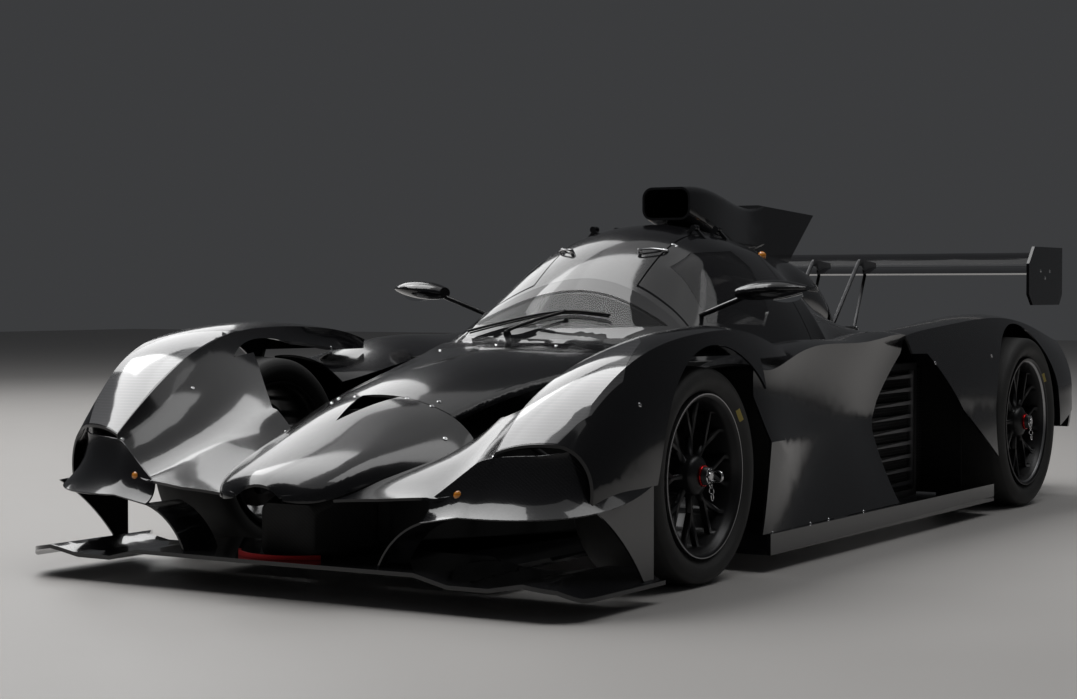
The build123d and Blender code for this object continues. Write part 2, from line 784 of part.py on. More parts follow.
# on each side: a foot through the engine cover, a long front rod, a short rear rod and a hook over the wing
foot_outline = [
    (1400, 540 + bond), (1440, 540 + bond), (1440, 700), (1645, 700), (1645, 722), (1372, 722),
    (1372, 700), (1400, 700),
    (1400, 540 + bond),
]
hook_outline = [
    (1668, 985), (1690, 1014), (1730, 1010), (1870, 1000), (1870, 960), (1740, 960), (1712, 985),
    (1690, 985), (1668, 985),
]
with BuildPart() as wing_struts:
    for x in (-strut_x, strut_x):
        for outline in (foot_outline, hook_outline):
            with BuildSketch(Plane.YZ.offset(x - strut_wall / 2)):
                with BuildLine():
                    Polyline(outline)
                make_face()
            extrude(amount=strut_wall)
        add(rod((x, 1386, 712), (x, 1686, 1002), rod_radius))
        add(rod((x, 1634, 712), (x, 1762, 962), rod_radius - 2))
    add(rear_wing.part, mode=Mode.SUBTRACT)
save(wing_struts, "wing_struts")

# ---------------------------------------------------------------- wheels
# places along the axle from the wheel's middle plane, outboard positive
upright_inner = -95
upright_outer = -68
bearing_start = -62
bearing_end = 24
stub_end = 20
stub_radius = 32
fit = 0.05
disc_inner = -50
disc_outer = -26
disc_radius = 178
kingpin_inset = 114
ball_height = 100
ball_radius = 14
tongue = 10


def wheel_plane(x, y, z, side):
    """Local x runs outboard along the axle, local y upward."""
    return Plane(origin=(x, y, z), x_dir=(side, 0, 0), z_dir=(0, -side, 0))


def tyre(plane, radius, width, rim_radius):
    half = width / 2
    with BuildPart() as block:
        with BuildSketch(plane):
            with BuildLine():
                Polyline((half - 22, rim_radius + 0.2), (half, rim_radius + 26))
                ThreePointArc((half, rim_radius + 26), (half + 6, (rim_radius + radius) / 2),
                    (half - 14, radius - 6))
                ThreePointArc((half - 14, radius - 6), (0, radius), (-half + 14, radius - 6))
                ThreePointArc((-half + 14, radius - 6), (-half - 6, (rim_radius + radius) / 2),
                    (-half, rim_radius + 26))
                Polyline((-half, rim_radius + 26), (-half + 22, rim_radius + 0.2),
                    (half - 22, rim_radius + 0.2))
            make_face()
        revolve(axis=Axis(plane.origin, plane.x_dir))
    return block


def rim(plane, width, rim_radius, spoke_count, dish):
    half = width / 2
    reach = rim_radius - 18
    fork = 52
    with BuildPart() as block:
        with BuildSketch(plane):
            with BuildLine():
                Polyline(
                    (half - 4, rim_radius), (half - 4, rim_radius - 8), (half - 34, rim_radius - 26),
                    (-half + 30, rim_radius - 26), (-half + 4, rim_radius - 8), (-half + 4, rim_radius),
                    (-half + 44, rim_radius), (-half + 62, rim_radius - 16), (half - 62, rim_radius - 16),
                    (half - 44, rim_radius), (half - 4, rim_radius),
                )
            make_face()
        revolve(axis=Axis(plane.origin, plane.x_dir))
        with BuildSketch(plane):
            with BuildLine():
                Polyline((bearing_end, 0), (bearing_end, stub_radius + fit),
                    (bearing_start, stub_radius + fit), (bearing_start, 66),
                         (half - dish - 40, 66), (half - dish, 58), (half - dish + 14, 34),
                         (half - dish + 14, 0), (bearing_end, 0))
            make_face()
        revolve(axis=Axis(plane.origin, plane.x_dir))
        with BuildSketch(plane):
            with Locations(((disc_inner + disc_outer) / 2, (60 + disc_radius) / 2)):
                Rectangle(disc_outer - disc_inner, disc_radius - 60)
        revolve(axis=Axis(plane.origin, plane.x_dir))
        face_plane = Plane(origin=plane.origin + plane.x_dir * (half - dish - 40), x_dir=plane.z_dir,
            z_dir=plane.x_dir)
        with BuildSketch(face_plane):
            with PolarLocations(0, spoke_count):
                Polygon(
                    (40, 8), (112, 6), (reach, fork), (reach, fork - 12), (132, 0), (reach, 12 - fork),
                    (reach, -fork), (112, -6),
                    (40, -8), align=None,
                )
        extrude(amount=18)
        with BuildSketch(face_plane.offset(54)):
            RegularPolygon(30, 6)
            Circle(12, mode=Mode.SUBTRACT)
        extrude(amount=24)
    return block


corners = (
    ("front_left", front_wheel_x, front_axle_y, 1, True),
    ("front_right", -front_wheel_x, front_axle_y, -1, True),
    ("rear_left", rear_wheel_x, rear_axle_y, 1, False),
    ("rear_right", -rear_wheel_x, rear_axle_y, -1, False),
)
for name, x, y, side, is_front in corners:
    radius = front_tyre_radius if is_front else rear_tyre_radius
    width = front_tyre_width if is_front else rear_tyre_width
    rim_radius = front_rim_radius if is_front else rear_rim_radius
    plane = wheel_plane(x, y, radius, side)
    save(tyre(plane, radius, width, rim_radius), f"tyre_{name}")
    save(rim(plane, width, rim_radius, 8, 30), f"rim_{name}")

# ---------------------------------------------------------------- knuckles and suspension
def knuckle(x, y, z, side):
    """An upright plate inside the wheel with its stub axle and the tongues of both ball joints."""
    plate = Plane(origin=(x + side * upright_inner, y, z), x_dir=(0, 1, 0), z_dir=(side, 0, 0))
    with BuildPart() as block:
        with BuildSketch(plate):
            RectangleRounded(110, 2 * ball_height + 70, 30)
        extrude(amount=upright_outer - upright_inner)
        with BuildSketch(plate):
            Circle(stub_radius)
        extrude(amount=stub_end - upright_inner)
        reach = kingpin_inset + 18 + upright_inner
        for level in (ball_height, -ball_height):
            for gap in (ball_radius + 0.5 + tongue / 2, -ball_radius - 0.5 - tongue / 2):
                with BuildSketch(plate):
                    with Locations((0, level + gap)):
                        Rectangle(36, tongue)
                extrude(amount=-reach)
    return block


save(knuckle(front_wheel_x, front_axle_y, front_tyre_radius, 1), "knuckle_left")
save(knuckle(-front_wheel_x, front_axle_y, front_tyre_radius, -1), "knuckle_right")
with BuildPart() as uprights_rear:
    add(knuckle(rear_wheel_x, rear_axle_y, rear_tyre_radius, 1).part)
    add(knuckle(-rear_wheel_x, rear_axle_y, rear_tyre_radius, -1).part)
save(uprights_rear, "uprights_rear")


def wishbones(wheel_x, wheel_y, wheel_z, inner_x, spread):
    """Upper and lower wishbones, each with its ball, and a push rod on the left-hand side."""
    ball_x = wheel_x - kingpin_inset
    with BuildPart() as block:
        for level, inner_z in ((ball_height, wheel_z + 60), (-ball_height, wheel_z - 110)):
            with Locations((ball_x, wheel_y, wheel_z + level)):
                Sphere(ball_radius)
            for dy in (-spread, spread):
                add(rod((ball_x, wheel_y, wheel_z + level), (inner_x, wheel_y + dy, inner_z)))
        add(rod((ball_x - 60, wheel_y, wheel_z - ball_height - 2), (inner_x, wheel_y, wheel_z + 140), 10))
    return block


with BuildPart() as suspension_front:
    left = wishbones(front_wheel_x, front_axle_y, front_tyre_radius, 200, 180)
    add(left.part)
    mirror(left.part, about=Plane.YZ)
    add(tub.part, mode=Mode.SUBTRACT)
    with BuildSketch(Plane.XY):
        with Locations((0, front_axle_y)):
            Rectangle(2 * 230, 600)
    extrude(amount=700, mode=Mode.SUBTRACT)
save(suspension_front, "suspension_front")
gearbox_half_width = 170
with BuildPart() as suspension_rear:
    left = wishbones(rear_wheel_x, rear_axle_y, rear_tyre_radius, gearbox_half_width + 0.3, 150)
    add(left.part)
    mirror(left.part, about=Plane.YZ)
    with BuildSketch(Plane.YZ):
        Rectangle(4000, 3000)
    extrude(amount=gearbox_half_width, both=True, mode=Mode.SUBTRACT)
    for side in (1, -1):
        add(rod((side * (gearbox_half_width + 0.3), rear_axle_y, rear_tyre_radius),
            (side * (rear_wheel_x + upright_inner - 0.3), rear_axle_y, rear_tyre_radius), 18))
save(suspension_rear, "suspension_rear")

# ---------------------------------------------------------------- cabin furniture and engine
with BuildPart() as seat:
    with BuildSketch(Plane.YZ.offset(-230)):
        with BuildLine():
            Polyline((-420, 104), (-420, 250), (-330, 250), (-20, 190), (230, 720), (290, 720),
                (120, 104), (-420, 104))
        make_face()
    extrude(amount=460)
save(seat, "seat")

wheel_tilt = 22
column_radius = 24
column_length = 190
column_fit = 0.5
hub = Plane(
    origin=(0, -470, 610), x_dir=(1, 0, 0),
    z_dir=(0, math.cos(math.radians(wheel_tilt)), math.sin(math.radians(wheel_tilt))),
)
with BuildPart() as dashboard:
    with BuildSketch(across(-700)):
        with Locations((0, 570)):
            RectangleRounded(2 * (tub_half_width - tub_wall), 120, 30)
    extrude(amount=-120)
    with BuildSketch(hub):
        Circle(column_radius + column_fit)
    extrude(amount=-column_length - 6, mode=Mode.SUBTRACT)
save(dashboard, "dashboard")

with BuildPart() as steering_wheel:
    with BuildSketch(hub):
        RectangleRounded(280, 180, 60)
        with Locations((-90, 0), (90, 0)):
            RectangleRounded(60, 110, 20, mode=Mode.SUBTRACT)
    extrude(amount=28)
    with BuildSketch(hub):
        Circle(column_radius)
    extrude(amount=-column_length)
save(steering_wheel, "steering_wheel")

engine_half_width = 260
with BuildPart() as engine:
    with BuildSketch(Plane.XY.offset(100)):
        with Locations((0, (tub_rear_y + 1080) / 2)):
            Rectangle(2 * engine_half_width, 1080 - tub_rear_y)
    extrude(amount=500)
    with BuildSketch(Plane.XY.offset(140)):
        with Locations((0, 1380)):
            Rectangle(2 * gearbox_half_width, 620)
    extrude(amount=400)
save(engine, "engine")

# x, y, z, half depth, half height
mirror_rows = ((604, -500, 868, 34, 20), (680, -495, 876, 62, 33), (770, -485, 882, 56, 27),
    (842, -470, 884, 16, 8))
with BuildPart() as mirror_left:
    for x, y, z, depth, height in mirror_rows:
        with BuildSketch(Plane.YZ.offset(x)):
            with Locations((y, z)):
                Ellipse(depth, height)
    loft()
    with BuildSketch(Plane.YZ.offset(590)):
        with Locations((-380, 880)):
            Rectangle(150, 120)
    extrude(amount=300, mode=Mode.SUBTRACT)
    add(rod((440, -470, 790), (660, -490, 870), 9))
    add(greenhouse_room.part, mode=Mode.SUBTRACT)
save(mirror_left, "mirror_left")
mirrored(mirror_left, "mirror_right")
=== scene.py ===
"""Looks of the closed-cockpit track hypercar: finishes, fine pieces, light and camera, in metres."""

import json
import math

import bmesh
import bpy
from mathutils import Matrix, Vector
from mathutils.bvhtree import BVHTree
from mathutils.kdtree import KDTree


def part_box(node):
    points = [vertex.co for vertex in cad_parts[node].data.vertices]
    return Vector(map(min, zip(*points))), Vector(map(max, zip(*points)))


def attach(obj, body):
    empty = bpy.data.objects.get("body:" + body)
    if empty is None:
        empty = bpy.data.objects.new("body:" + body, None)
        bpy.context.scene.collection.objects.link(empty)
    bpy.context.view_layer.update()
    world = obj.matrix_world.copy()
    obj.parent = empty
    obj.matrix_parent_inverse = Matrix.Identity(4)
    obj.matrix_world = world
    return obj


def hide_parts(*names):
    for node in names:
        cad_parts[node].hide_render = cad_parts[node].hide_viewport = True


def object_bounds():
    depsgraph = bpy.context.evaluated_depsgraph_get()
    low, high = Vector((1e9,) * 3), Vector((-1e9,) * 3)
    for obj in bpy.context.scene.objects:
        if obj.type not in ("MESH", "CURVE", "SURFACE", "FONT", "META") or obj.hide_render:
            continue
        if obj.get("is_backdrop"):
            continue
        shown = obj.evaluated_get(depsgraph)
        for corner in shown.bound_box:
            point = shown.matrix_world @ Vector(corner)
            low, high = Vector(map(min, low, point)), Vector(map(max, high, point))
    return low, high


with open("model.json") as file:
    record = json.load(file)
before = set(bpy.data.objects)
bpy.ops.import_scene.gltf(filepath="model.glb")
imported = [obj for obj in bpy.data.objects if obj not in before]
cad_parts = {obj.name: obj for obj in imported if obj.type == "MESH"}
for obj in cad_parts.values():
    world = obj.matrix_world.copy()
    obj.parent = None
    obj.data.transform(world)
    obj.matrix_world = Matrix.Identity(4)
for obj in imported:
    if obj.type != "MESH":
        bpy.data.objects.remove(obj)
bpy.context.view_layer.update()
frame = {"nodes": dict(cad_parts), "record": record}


# ---------------------------------------------------------------- shader helpers
def add_node(tree, kind, output, sockets, **settings):
    """Adds a node: its settings first, then its sockets by name or number, and gives one output."""
    made = tree.nodes.new(kind)
    for name, value in settings.items():
        setattr(made, name, value)
    for socket, value in sockets.items():
        if isinstance(value, Shade):
            tree.links.new(value.socket, made.inputs[socket])
        else:
            made.inputs[socket].default_value = value
    return Shade(tree, made.outputs[output])


class Shade:
    """One socket's value in a material, with operators that add Math nodes."""

    def __init__(self, tree, socket):
        self.tree, self.socket = tree, socket

    def _math(self, operation, *values):
        return add_node(self.tree, "ShaderNodeMath", 0, dict(enumerate(values)), operation=operation)

    def __add__(self, other): return self._math("ADD", self, other)
    def __radd__(self, other): return self._math("ADD", other, self)
    def __sub__(self, other): return self._math("SUBTRACT", self, other)
    def __rsub__(self, other): return self._math("SUBTRACT", other, self)
    def __mul__(self, other): return self._math("MULTIPLY", self, other)
    def __rmul__(self, other): return self._math("MULTIPLY", other, self)
    def __truediv__(self, other): return self._math("DIVIDE", self, other)
    def __rtruediv__(self, other): return self._math("DIVIDE", other, self)
    def above(self, other): return self._math("GREATER_THAN", self, other)
    def below(self, other): return self._math("LESS_THAN", self, other)
    def wrapped(self, pitch): return self._math("FLOORED_MODULO", self, pitch)
    def sine(self): return self._math("SINE", self)
    def size(self): return self._math("ABSOLUTE", self)
    def least(self, other): return self._math("MINIMUM", self, other)
    def most(self, other): return self._math("MAXIMUM", self, other)
    def root(self): return self._math("SQRT", self)

    def ripple(self, rate):
        """A wave from 0 to 1."""
        return (self * rate).sine() * 0.5 + 0.5

    def band(self, middle, half_width):
        """1 within half_width of the middle, and 0 elsewhere."""
        return (self - middle).size().below(half_width)


class Finish:
    """A material on a Principled shader: plain values, and nodes that vary some of them."""

    def __init__(self, name, color, **constants):
        self.material = bpy.data.materials.new(name)
        self.material.use_nodes = True
        self.tree = self.material.node_tree
        self.shader = self.tree.nodes["Principled BSDF"]
        self.shader.inputs["Base Color"].default_value = (*color, 1)
        for socket, value in constants.items():
            self.shader.inputs[socket.replace("_", " ")].default_value = value

    def place(self, axis=None):
        """The Object coordinate, or one axis of it."""
        whole = add_node(self.tree, "ShaderNodeTexCoord", "Object", {})
        if axis is None:
            return whole
        return add_node(self.tree, "ShaderNodeSeparateXYZ", axis, {"Vector": whole})

    def noise(self, scale, detail=3.0):
        sockets = {"Vector": self.place(), "Scale": scale, "Detail": detail}
        return add_node(self.tree, "ShaderNodeTexNoise", "Fac", sockets)

    def mix(self, factor, first, second):
        """A colour between two, each a plain colour or a Shade."""
        first, second = (color if isinstance(color, Shade) else (*color, 1) for color in (first, second))
        # a Mix node mixes colours between its inputs 6 and 7, to its output 2
        return add_node(self.tree, "ShaderNodeMix", 2, {0: factor, 6: first, 7: second}, data_type="RGBA")

    def feed(self, socket, value):
        self.tree.links.new(value.socket, self.shader.inputs[socket])
        return self

    def tone(self, factor, first, second):
        """Base Color between two."""
        return self.feed("Base Color", self.mix(factor, first, second))

    def worn(self, scale, spread, lowest):
        """Roughness that drifts over the surface."""
        return self.feed("Roughness", self.noise(scale) * spread + lowest)

    def bump(self, height, strength, distance):
        sockets = {"Height": height, "Strength": strength, "Distance": distance}
        return self.feed("Normal", add_node(self.tree, "ShaderNodeBump", 0, sockets))


def twill(finish, pitch, over_share):
    """A two-by-two twill: where the upper fibre bundles lie, and the cloth's tone, from its weave and from a painted
    sheen that lightens each bundle across its width.
    """
    along, across, up = (finish.place(axis) for axis in "XYZ")
    warp, weft = along + up * cloth_lean, across + up * cloth_lean
    over = ((warp + weft) / pitch).wrapped(4.0).above(2.0)
    # painted sheen: each fibre bundle lighter towards one corner, a reflection painted into the colour
    painted_sheen = (warp / pitch).wrapped(1.0) * (weft / pitch).wrapped(1.0)
    return over, over * over_share + painted_sheen * 0.3


# ---------------------------------------------------------------- finishes
# carbon cloth: pitch of its bundles, and how far height turns the cloth on upright faces
fine_pitch = 0.0035
coarse_pitch = 0.004
cloth_lean = 0.7
under_lacquer = 0.12  # what the base still reflects below a coat

# windscreen: a point of its foot with the rise to the rear, and one of its side edge with its direction
screen_see_through = 0.7
screen_border = 0.03
screen_foot_y, screen_foot_z, screen_foot_rise = -0.96, 0.698, 0.0833
screen_side_y, screen_side_z = -0.6, 0.728
screen_side_run, screen_side_drop = 0.13, 0.282
door_glass_see_through = 0.62

# wheels: radii, and distances in from the rim's outer face
nut_radius, nut_depth = 0.024, 0.03
# the rim lip's ring is a painted highlight: a thin bright band of colour
lip_highlight_reach, lip_highlight_half_width, lip_highlight_depth = 0.2435, 0.0022, 0.04
disc_radius, disc_depth = 0.183, 0.177

# tyres: moulded rings as (radius, half width), the yellow bar, and where the outer wall begins
tyre_rings = ((0.2385, 0.0012), (0.2555, 0.0009), (0.3, 0.001))
bar_angle = 38.6
bar_reach = 0.2725
bar_width = 0.013
bar_length = 0.045
outer_wall_x = 0.85


def gloss_black():
    """Clear lacquer over black carbon cloth, whose twill and painted sheen just show close up."""
    f = Finish("gloss_black", (0.006, 0.006, 0.007), Roughness=0.2, Coat_Weight=1.0,
               Coat_Roughness=0.08, Specular_IOR_Level=under_lacquer)
    _, light = twill(f, fine_pitch, 0.7)
    f.tone(light, (0.004, 0.004, 0.005), (0.009, 0.009, 0.01))
    return f.worn(3.0, 0.08, 0.2).material


def gloss_carbon():
    """Lacquered carbon cloth with a coarser twill and painted sheen that show more."""
    f = Finish("gloss_carbon", (0.012, 0.012, 0.013), Roughness=0.25, Coat_Weight=1.0,
               Coat_Roughness=0.06, Specular_IOR_Level=under_lacquer)
    over, light = twill(f, coarse_pitch, 0.6)
    f.tone(light, (0.006, 0.006, 0.007), (0.02, 0.02, 0.022))
    return f.feed("Roughness", over * 0.04 + 0.2).material


def satin_black():
    return Finish("satin_black", (0.012, 0.012, 0.013), Roughness=0.35, Metallic=0.4).worn(25.0, 0.1, 0.3).material


def matt_black():
    """Bare carbon cloth, with a painted sheen on its twill."""
    f = Finish("matt_black", (0.01, 0.01, 0.01), Roughness=0.8)
    _, light = twill(f, coarse_pitch, 0.6)
    f.tone(light, (0.006, 0.006, 0.006), (0.014, 0.014, 0.014))
    return f.worn(18.0, 0.15, 0.7).material


def radiator_fins():
    """Fine folded fins between flat tubes; the fins are painted darker than the tubes, as painted shade in their
    deep folds.
    """
    tube_pitch, tube_share, fold_rate = 0.011, 0.28, 2100.0
    f = Finish("radiator_fins", (0.05, 0.05, 0.052), Roughness=0.5, Metallic=0.7)
    tube = (f.place("Z") / tube_pitch).wrapped(1.0).below(tube_share)
    fold = f.place("Y").ripple(fold_rate)
    # painted shade: the folded fins between the tubes darker, the tubes' flat faces lighter
    f.tone(tube, (0.016, 0.016, 0.017), (0.07, 0.07, 0.072))
    f.feed("Roughness", fold * 0.2 + 0.4)
    return f.bump(tube + fold * (1.0 - tube) * 0.6, 0.6, 0.002).material


def rubber_black():
    f = Finish("rubber_black", (0.016, 0.016, 0.016), Roughness=0.75)
    f.tone(f.noise(9.0), (0.012, 0.012, 0.012), (0.026, 0.026, 0.025))
    f.worn(14.0, 0.2, 0.62)
    return f.bump(f.noise(220.0, 5.0), 0.25, 0.0006).material


def bright_metal():
    return Finish("bright_metal", (0.62, 0.62, 0.63), Roughness=0.2, Metallic=1.0).worn(60.0, 0.12, 0.16).material


def red_metal():
    return Finish("red_anodised", (0.42, 0.008, 0.01), Roughness=0.25, Metallic=0.9).worn(70.0, 0.12, 0.2).material


def amber_lens():
    f = Finish("amber_lens", (0.8, 0.25, 0.01), Roughness=0.12, Coat_Weight=1.0, Coat_Roughness=0.03)
    return f.tone(f.place("Z").ripple(900.0), (0.75, 0.2, 0.008), (0.95, 0.38, 0.03)).material


def silvered_glass():
    return Finish("silvered_glass", (0.8, 0.81, 0.82), Roughness=0.02, Metallic=1.0).worn(30.0, 0.02, 0.015).material


def dull_metal():
    return Finish("dull_metal", (0.2, 0.2, 0.205), Roughness=0.4, Metallic=1.0).worn(40.0, 0.2, 0.32).material


def clear_glass():
    """Smoked door glass."""
    f = Finish("screen_glass", (0.02, 0.02, 0.022), Roughness=0.02, Coat_Weight=1.0, Coat_Roughness=0.01,
               Alpha=1.0 - door_glass_see_through)
    return f.worn(5.0, 0.02, 0.02).material


def screen_with_border():
    """Windscreen glass with an opaque black band round its bonded edge."""
    f = Finish("windscreen_glass", (0.012, 0.012, 0.013), Roughness=0.02, Coat_Weight=0.7,
               Coat_Roughness=0.03, Specular_IOR_Level=0.1)
    y, z = f.place("Y"), f.place("Z")
    from_foot = (z - screen_foot_z) - (y - screen_foot_y) * screen_foot_rise
    from_side = (screen_side_y - y) * screen_side_drop + (z - screen_side_z) * screen_side_run
    edge = (from_foot / math.hypot(1, screen_foot_rise)).least(
        from_side / math.hypot(screen_side_run, screen_side_drop))
    f.feed("Alpha", edge.below(screen_border) * screen_see_through + (1.0 - screen_see_through))
    return f.worn(5.0, 0.02, 0.02).material


def round_wheel(finish, centre_y, centre_z):
    """Across, fore and aft, up, and out from a wheel's centre."""
    x, y, z = finish.place("X").size(), finish.place("Y") - centre_y, finish.place("Z") - centre_z
    return x, y, z, (y * y + z * z).root()


def wheel_finish(label, centre_y, centre_z, face):
    """Satin black spokes, a bright hub nut, a painted highlight round the rim lip, and a scored brake disc behind.
    """
    f = Finish("wheel_finish_" + label, (0.012, 0.012, 0.013), Roughness=0.35, Metallic=0.4)
    x, _, _, reach = round_wheel(f, centre_y, centre_z)
    nut = reach.below(nut_radius) * x.above(face - nut_depth)
    # painted highlight: a thin ring round the rim lip, lighter and more metallic than the spokes
    lip = reach.band(lip_highlight_reach, lip_highlight_half_width) * x.above(face - lip_highlight_depth)
    disc = reach.below(disc_radius) * x.below(face - disc_depth)
    base = f.mix(disc, (0.012, 0.012, 0.013), (0.16, 0.15, 0.145))
    f.tone((nut + lip * 0.6).least(1.0), base, (0.6, 0.6, 0.61))
    f.feed("Metallic", (nut + disc + lip).least(1.0) * 0.6 + 0.4)
    f.feed("Roughness", f.noise(25.0) * 0.1 + 0.3 - nut * 0.12 + disc * reach.ripple(2400.0) * 0.15)
    return f.material


def tyre_rubber(label, centre_y, centre_z):
    """Tread and sidewall rubber with moulded rings and one plain yellow bar on the outer wall."""
    f = Finish("tyre_rubber_" + label, (0.016, 0.016, 0.016), Roughness=0.7)
    x, y, z, reach = round_wheel(f, centre_y, centre_z)
    turn = math.radians(bar_angle)
    outward = y * math.cos(turn) + z * math.sin(turn)
    around = z * math.cos(turn) - y * math.sin(turn)
    bar = outward.band(bar_reach, bar_width / 2) * around.size().below(bar_length / 2) * x.above(outer_wall_x)
    inner, middle, outer = (reach.band(radius, half_width) for radius, half_width in tyre_rings)
    rubber_tone = f.mix(f.noise(9.0), (0.011, 0.011, 0.011), (0.024, 0.024, 0.023))
    f.tone(bar * 0.9, rubber_tone, (0.42, 0.33, 0.07))
    f.worn(14.0, 0.2, 0.55)
    return f.bump(inner + middle + outer + f.noise(220.0, 5.0) * 0.3, 0.5, 0.0012).material


def red_webbing():
    f = Finish("red_webbing", (0.5, 0.01, 0.012), Roughness=0.8)
    ribs = ((f.place("X") + f.place("Y")) * 2600.0).sine()
    return f.bump(ribs, 0.5, 0.0006).material


def red_lamp():
    f = Finish("red_lamp", (0.25, 0.0, 0.0), Roughness=0.1, Coat_Weight=1.0)
    return f.tone(f.place("X").ripple(500.0), (0.12, 0.0, 0.0), (0.4, 0.01, 0.01)).material


def lens_cover():
    """Smoked cover: fine level lines over a grey reflector, with a painted reflection that makes it lighter low
    down.
    """
    line_pitch, line_share, dark_from, fade = 0.0085, 0.22, 0.74, 3.0
    f = Finish("lens_cover", (0.2, 0.2, 0.205), Roughness=0.15, Coat_Weight=1.0, Coat_Roughness=0.08)
    height = f.place("Z")
    lines = (height / line_pitch).wrapped(1.0).below(line_share)
    # painted reflection: the cover lighter towards its foot, as a reflection painted into the colour
    painted_reflection_low = ((dark_from - height) * fade).least(1.0).most(0.0)
    reflector_and_painted_reflection = f.mix(painted_reflection_low, (0.05, 0.05, 0.053), (0.2, 0.2, 0.205))
    f.tone(lines * 0.13, reflector_and_painted_reflection, (0.3, 0.3, 0.31))
    return f.worn(5.0, 0.05, 0.06).material


black, carbon, satin, rubber = gloss_black(), gloss_carbon(), satin_black(), rubber_black()
metal, dull, webbing, red = bright_metal(), dull_metal(), red_webbing(), red_lamp()
matt, fins = matt_black(), radiator_fins()
door_glass, windscreen, lens = clear_glass(), screen_with_border(), lens_cover()
red_alloy, amber, looking_glass = red_metal(), amber_lens(), silvered_glass()


# ---------------------------------------------------------------- skins over the CAD nodes
skin_crease = 35.0
cad_weld = 0.00002
longest_edge = 0.035
slots = {row["node"]: row["material_slot"] for row in frame["record"]["subparts"]}


def body_for(node):
    for body, nodes in frame["record"]["behaviour"]["bodies"].items():
        if node in nodes:
            return body


def finish_piece(work, name, body, material, crease, replaces=()):
    """Makes an object from a bmesh, at the origin, riding on a body."""
    mesh = bpy.data.meshes.new(name)
    work.to_mesh(mesh)
    work.free()
    piece = bpy.data.objects.new(name, mesh)
    bpy.context.scene.collection.objects.link(piece)
    mesh.materials.append(material)
    mesh.shade_smooth()
    mesh.set_sharp_from_angle(angle=math.radians(crease))
    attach(piece, body)
    if replaces:
        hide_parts(*replaces)
    return piece


def joined(node):
    """A bmesh of the node's own form with its loose triangles joined."""
    work = bmesh.new()
    work.from_mesh(frame["nodes"][node].data)
    bmesh.ops.remove_doubles(work, verts=work.verts, dist=cad_weld)
    return work


# lacquered panels share one field of normals, so that a reflection runs on across their seams
blend_reach = 0.04
same_side = 0.9
same_face = 0.97
sample_spacing = 0.018
most_samples = 6
cell_size = 0.014
facing_steps = 3.0
lacquered = [node for node, slot in slots.items() if slot in ("body", "lens", "glass")]
lacquered += ["rear_wing", "dive_planes", "splitter"]


def spread(face_points, area):
    """A few places over a triangle with their share of its area, so that all of a large one counts."""
    a, b, c = face_points
    steps = max(1, min(most_samples, int(math.sqrt(area) / sample_spacing)))
    for i in range(steps):
        for j in range(steps):
            u, v = (i + 0.5) / steps, (j + 0.5) / steps
            if u + v > 1:
                u, v = 1 - u, 1 - v
            yield a + (b - a) * u + (c - a) * v, area / (steps * steps)


def field_tree():
    """The lacquered surface as directions weighted by area, gathered in small cells."""
    cells = {}
    for node in lacquered:
        mesh = frame["nodes"][node].data
        for face in mesh.polygons:
            if face.area > 1e-9:
                facing = tuple(round(v * facing_steps) for v in face.normal)
                for place, share in spread([mesh.vertices[i].co for i in face.vertices], face.area):
                    cell = (*(round(v / cell_size) for v in place), facing)
                    held = cells.setdefault(cell, [Vector(), Vector(), 0.0])
                    held[0] += place * share
                    held[1] += face.normal * share
                    held[2] += share
    samples = [(place / area, side.normalized(), area) for place, side, area in cells.values()]
    tree = KDTree(len(samples))
    for i, (place, _, _) in enumerate(samples):
        tree.insert(place, i)
    tree.balance()
    return tree, samples


def smooth_reflections(piece, tree, samples):
    """Turns each corner's normal to the mean of the lacquered surface around it."""
    mesh = piece.data
    normals = [None] * len(mesh.loops)
    near, settled = {}, {}
    for face in mesh.polygons:
        for loop in face.loop_indices:
            vertex = mesh.loops[loop].vertex_index
            for side, mean in settled.get(vertex, ()):
                if side.dot(face.normal) > same_face:
                    normals[loop] = mean
                    break
            else:
                if vertex not in near:
                    near[vertex] = tree.find_range(mesh.vertices[vertex].co, blend_reach)
                total = face.normal * 1e-9
                for _, i, distance in near[vertex]:
                    _, side, area = samples[i]
                    if side.dot(face.normal) > same_side:
                        total += side * (area * (1 - distance / blend_reach))
                normals[loop] = total.normalized()
                settled.setdefault(vertex, []).append((face.normal.copy(), normals[loop]))
    mesh.normals_split_custom_set(normals)


def refine(work):
    """Cuts long edges in half until the surface is fine enough to carry smooth normals."""
    for _ in range(4):
        long = [edge for edge in work.edges if edge.calc_length() > longest_edge]
        if not long:
            break
        bmesh.ops.subdivide_edges(work, edges=long, cuts=1)
        bmesh.ops.triangulate(work, faces=[face for face in work.faces if len(face.verts) > 3])


def skinned(node, material):
    work = joined(node)
    if node in lacquered:
        refine(work)
    return finish_piece(work, node + "_skin", body_for(node), material, skin_crease, (node,))


looks = {
    "body": black, "carbon": carbon, "strap": webbing, "lens": lens, "glass": door_glass, "lamp": red,
    "metal": dull, "steel": satin, "tyre": rubber, "rim": satin, "grip": rubber,
}
own_looks = {
    "windshield": windscreen, "crash_box": matt, "tub": matt, "seat": matt, "dashboard": matt,
    "rear_wing": black, "wing_struts": dull,
}
for axle in ("front", "rear"):
    low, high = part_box("rim_" + axle + "_left")
    middle_y, middle_z = (low[1] + high[1]) / 2, (low[2] + high[2]) / 2
    rim_look = wheel_finish(axle, middle_y, middle_z, high[0])
    tyre_look = tyre_rubber(axle, middle_y, middle_z)
    for side in ("left", "right"):
        own_looks["rim_" + axle + "_" + side] = rim_look
        own_looks["tyre_" + axle + "_" + side] = tyre_look
tree, samples = field_tree()
for node, slot in slots.items():
    skin = skinned(node, own_looks.get(node, looks[slot]))
    if node in lacquered and tree:
        smooth_reflections(skin, tree, samples)


# ---------------------------------------------------------------- tools for fine pieces
fitting_crease = 40.0
fine_weld = 0.00001
both_sides = ((1, "left"), (-1, "right"))


